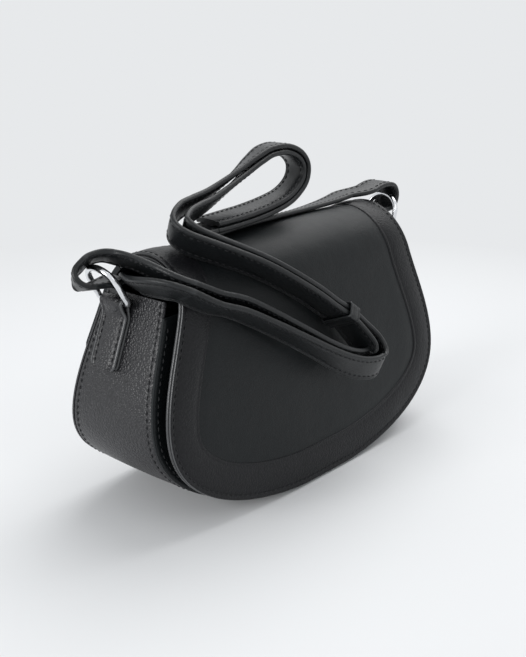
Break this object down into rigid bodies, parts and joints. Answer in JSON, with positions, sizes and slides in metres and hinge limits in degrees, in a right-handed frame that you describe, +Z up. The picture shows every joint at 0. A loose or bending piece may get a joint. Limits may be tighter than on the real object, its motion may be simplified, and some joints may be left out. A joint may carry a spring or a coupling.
{
  "type": "saddle handbag",
  "caption": "Leather saddle handbag with a hinged rounded flap, magnetic snap, ring tabs, doubled shoulder strap with a sliding keeper, and a lined body with a zip pocket.",
  "frame": {"origin": "centre of the flat base that the bag stands on", "axes": "+X along the width, to the right seen from the front; front faces -Y; +Z up"},
  "size_m": [0.2755, 0.1169, 0.1984],
  "materials": {
    "smooth_leather": "smooth black leather, soft sheen",
    "pebbled_leather": "pebbled black leather",
    "strap_leather": "smooth black leather, painted edges",
    "flap_lining": "black backing leather",
    "lining": "woven black cloth",
    "zip_tape": "woven tape with metal teeth",
    "board": "pressed fibre board",
    "zip_metal": "polished",
    "snap_metal": "polished",
    "ring_metal": "bright polished nickel"
  },
  "bodies": {
    "bag": {"back_panel": "smooth_leather", "front_panel": "smooth_leather", "gusset": "pebbled_leather", "back_yoke": "smooth_leather", "front_board": "board", "back_board": "board", "front_lining": "lining", "back_lining": "lining", "gusset_lining": "lining", "pocket_pouch": "lining", "pocket_welt": "smooth_leather", "zip_chain": "zip_tape", "magnet_socket": "snap_metal", "socket_washer": "snap_metal", "tab_left": "pebbled_leather", "tab_right": "pebbled_leather", "strap_lead_left": "strap_leather", "strap_lead_right": "strap_leather"},
    "flap": {"flap_panel": "smooth_leather", "flap_border": "pebbled_leather", "flap_backing": "flap_lining", "magnet_stud": "snap_metal", "stud_washer": "snap_metal"},
    "strap": {"strap_front": "strap_leather", "strap_fold": "strap_leather", "strap_return": "strap_leather", "strap_turn": "strap_leather", "strap_rise": "strap_leather", "strap_top": "strap_leather", "strap_fall": "strap_leather", "strap_tail": "strap_leather"},
    "keeper": {"strap_keeper": "pebbled_leather"},
    "left_ring": {"ring_left": "ring_metal", "strap_loop_left": "strap_leather"},
    "right_ring": {"ring_right": "ring_metal", "strap_loop_right": "strap_leather"},
    "slider": {"zip_slider": "zip_metal"},
    "puller": {"zip_puller": "zip_metal"}
  },
  "joints": [
    {"name": "flap_hinge", "type": "hinge", "parent": "bag", "child": "flap", "pos_m": [0, 0.01883, 0.14128], "axis": [-1, 0, 0], "range_deg": [0, 120]},
    {"name": "strap_lift", "type": "hinge", "parent": "bag", "child": "strap", "pos_m": [0, 0.01883, 0.14128], "axis": [-1, 0, 0], "range_deg": [0, 126], "deforming": ["strap_lead_left", "strap_lead_right"]},
    {"name": "keeper_slide", "type": "slide", "parent": "strap", "child": "keeper", "axis": [-0.794, 0.1059, 0.5986], "range_m": [0, 0.01]},
    {"name": "left_ring_swing", "type": "hinge", "parent": "bag", "child": "left_ring", "pos_m": [-0.1119, 0.008, 0.124], "axis": [0, 1, 0], "range_deg": [-20, 5], "deforming": ["strap_lead_left"]},
    {"name": "right_ring_swing", "type": "hinge", "parent": "bag", "child": "right_ring", "pos_m": [0.1199, 0, 0.127], "axis": [0, 1, 0], "range_deg": [-5, 20], "deforming": ["strap_lead_right"]},
    {"name": "zip_run", "type": "slide", "parent": "bag", "child": "slider", "axis": [1, 0, 0], "range_m": [0, 0.09]},
    {"name": "puller_swing", "type": "hinge", "parent": "slider", "child": "puller", "pos_m": [-0.046, 0.01994, 0.08933], "axis": [0, 0.1435, -0.9896], "range_deg": [0, 150]}
  ],
  "couplings": [
    {"joint": "strap_lift", "follows": "flap_hinge", "ratio": 1.05}
  ]
}
